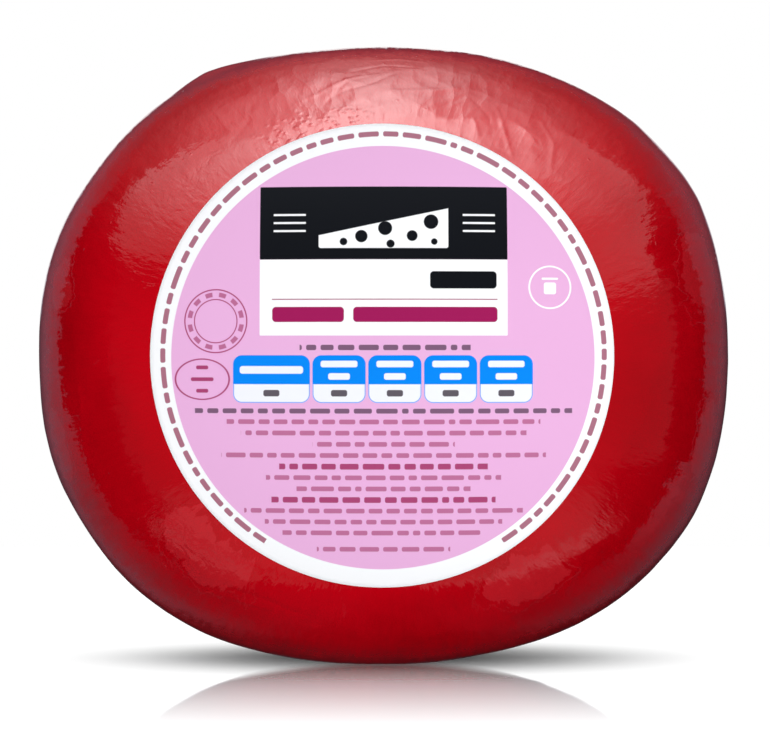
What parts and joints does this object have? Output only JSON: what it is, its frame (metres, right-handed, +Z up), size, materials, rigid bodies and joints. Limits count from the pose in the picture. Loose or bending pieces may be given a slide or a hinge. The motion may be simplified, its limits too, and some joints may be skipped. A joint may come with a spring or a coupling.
{
  "type": "ball of cheese",
  "caption": "Slightly flattened ball of red-waxed cheese sealed in skin-tight glossy film, with a round printed paper label on one side.",
  "frame": {"origin": "middle of the flat spot that the ball rests on", "axes": "+Z up, the label faces -Y, +X is to the right as one looks at the label"},
  "size_m": [0.136, 0.1365, 0.1211],
  "materials": {
    "red_rind": "gloss",
    "label_paper": "satin"
  },
  "bodies": {
    "root": {"ball": "red_rind", "label": "label_paper"}
  },
  "joints": []
}
